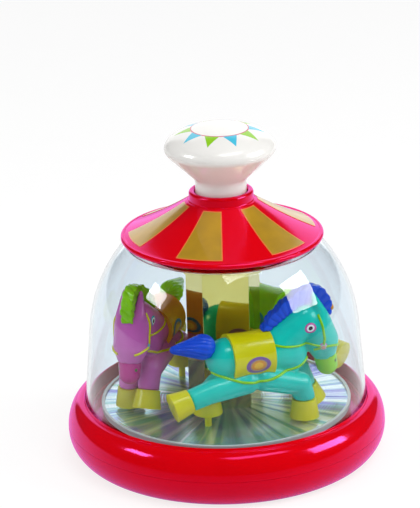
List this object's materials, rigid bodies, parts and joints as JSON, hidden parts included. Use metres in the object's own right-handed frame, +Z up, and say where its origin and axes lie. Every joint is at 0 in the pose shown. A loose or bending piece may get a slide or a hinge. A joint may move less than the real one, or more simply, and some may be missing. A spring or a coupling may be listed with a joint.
{
  "type": "push-and-spin carousel toy",
  "caption": "Round baby toy: pressing the white knob turns a mirrored column and galloping ponies on a disc under a clear dome, on a rolled red base.",
  "frame": {"origin": "centre of the foot ring, on the surface that the toy stands on", "axes": "+Z up the axis of the carousel, -Y towards the viewer of the picture, +X to the viewer's right"},
  "size_m": [0.19, 0.19, 0.2],
  "materials": {
    "red_plastic": "glossy moulded ABS",
    "clear_plastic": "clear polished polystyrene",
    "white_plastic": "glossy moulded ABS",
    "gold_foil": "gold hot-stamped film",
    "silver_foil": "silver diffraction film",
    "gold_mirror_plastic": "vacuum-metallised gold mirror",
    "zinc_steel": "zinc-plated",
    "spring_steel": "bright drawn wire",
    "nylon": "natural nylon",
    "turquoise_plastic": "satin moulded PVC",
    "blue_plastic": "satin moulded PVC",
    "yellow_plastic": "satin moulded PVC",
    "lime_plastic": "satin moulded PVC",
    "pink_plastic": "satin moulded PVC",
    "magenta_plastic": "satin moulded PVC",
    "orange_plastic": "satin moulded PVC"
  },
  "bodies": {
    "housing": {"base_top": "red_plastic", "base_bottom": "red_plastic", "base_screws": "zinc_steel", "dome": "clear_plastic", "roof_cone": "red_plastic", "roof_stripes": "gold_foil", "roof_screws": "zinc_steel", "axle": "zinc_steel", "thrust_washer": "nylon"},
    "carousel": {"turntable": "clear_plastic", "foil_disc": "silver_foil", "hub_bush": "nylon", "column": "gold_mirror_plastic", "column_screws": "zinc_steel", "column_head": "gold_mirror_plastic", "clutch_cover": "nylon", "teal_pony_body": "turquoise_plastic", "teal_pony_saddle": "yellow_plastic", "teal_pony_mane": "blue_plastic", "teal_pony_tail": "blue_plastic", "teal_pony_hooves": "yellow_plastic", "teal_pony_muzzle": "lime_plastic", "green_pony_body": "lime_plastic", "green_pony_saddle": "magenta_plastic", "green_pony_mane": "orange_plastic", "green_pony_tail": "orange_plastic", "green_pony_hooves": "yellow_plastic", "green_pony_muzzle": "blue_plastic", "pink_pony_body": "pink_plastic", "pink_pony_saddle": "orange_plastic", "pink_pony_mane": "lime_plastic", "pink_pony_tail": "lime_plastic", "pink_pony_hooves": "yellow_plastic", "pink_pony_muzzle": "magenta_plastic"},
    "plunger": {"knob_base": "white_plastic", "knob_cap": "white_plastic", "drive_rod": "nylon", "rod_pin": "zinc_steel", "return_spring": "spring_steel"},
    "drive_nut": {"drive_nut": "nylon"}
  },
  "joints": [
    {"name": "carousel_spin", "type": "hinge", "parent": "housing", "child": "carousel", "pos_m": [0, 0, 0.0304], "axis": [0, 0, 1], "continuous": true},
    {"name": "knob_push", "type": "slide", "parent": "housing", "child": "plunger", "axis": [0, 0, 1], "range_m": [-0.005, 0.016], "stiffness_N_per_m": 150, "springref_m": 0.04, "deforming": ["return_spring"]},
    {"name": "nut_spin", "type": "hinge", "parent": "housing", "child": "drive_nut", "pos_m": [0, 0, 0.116], "axis": [0, 0, 1], "range_deg": [-125, 42]}
  ],
  "couplings": [
    {"joint": "nut_spin", "follows": "knob_push", "rad_per_m": -130.9}
  ]
}
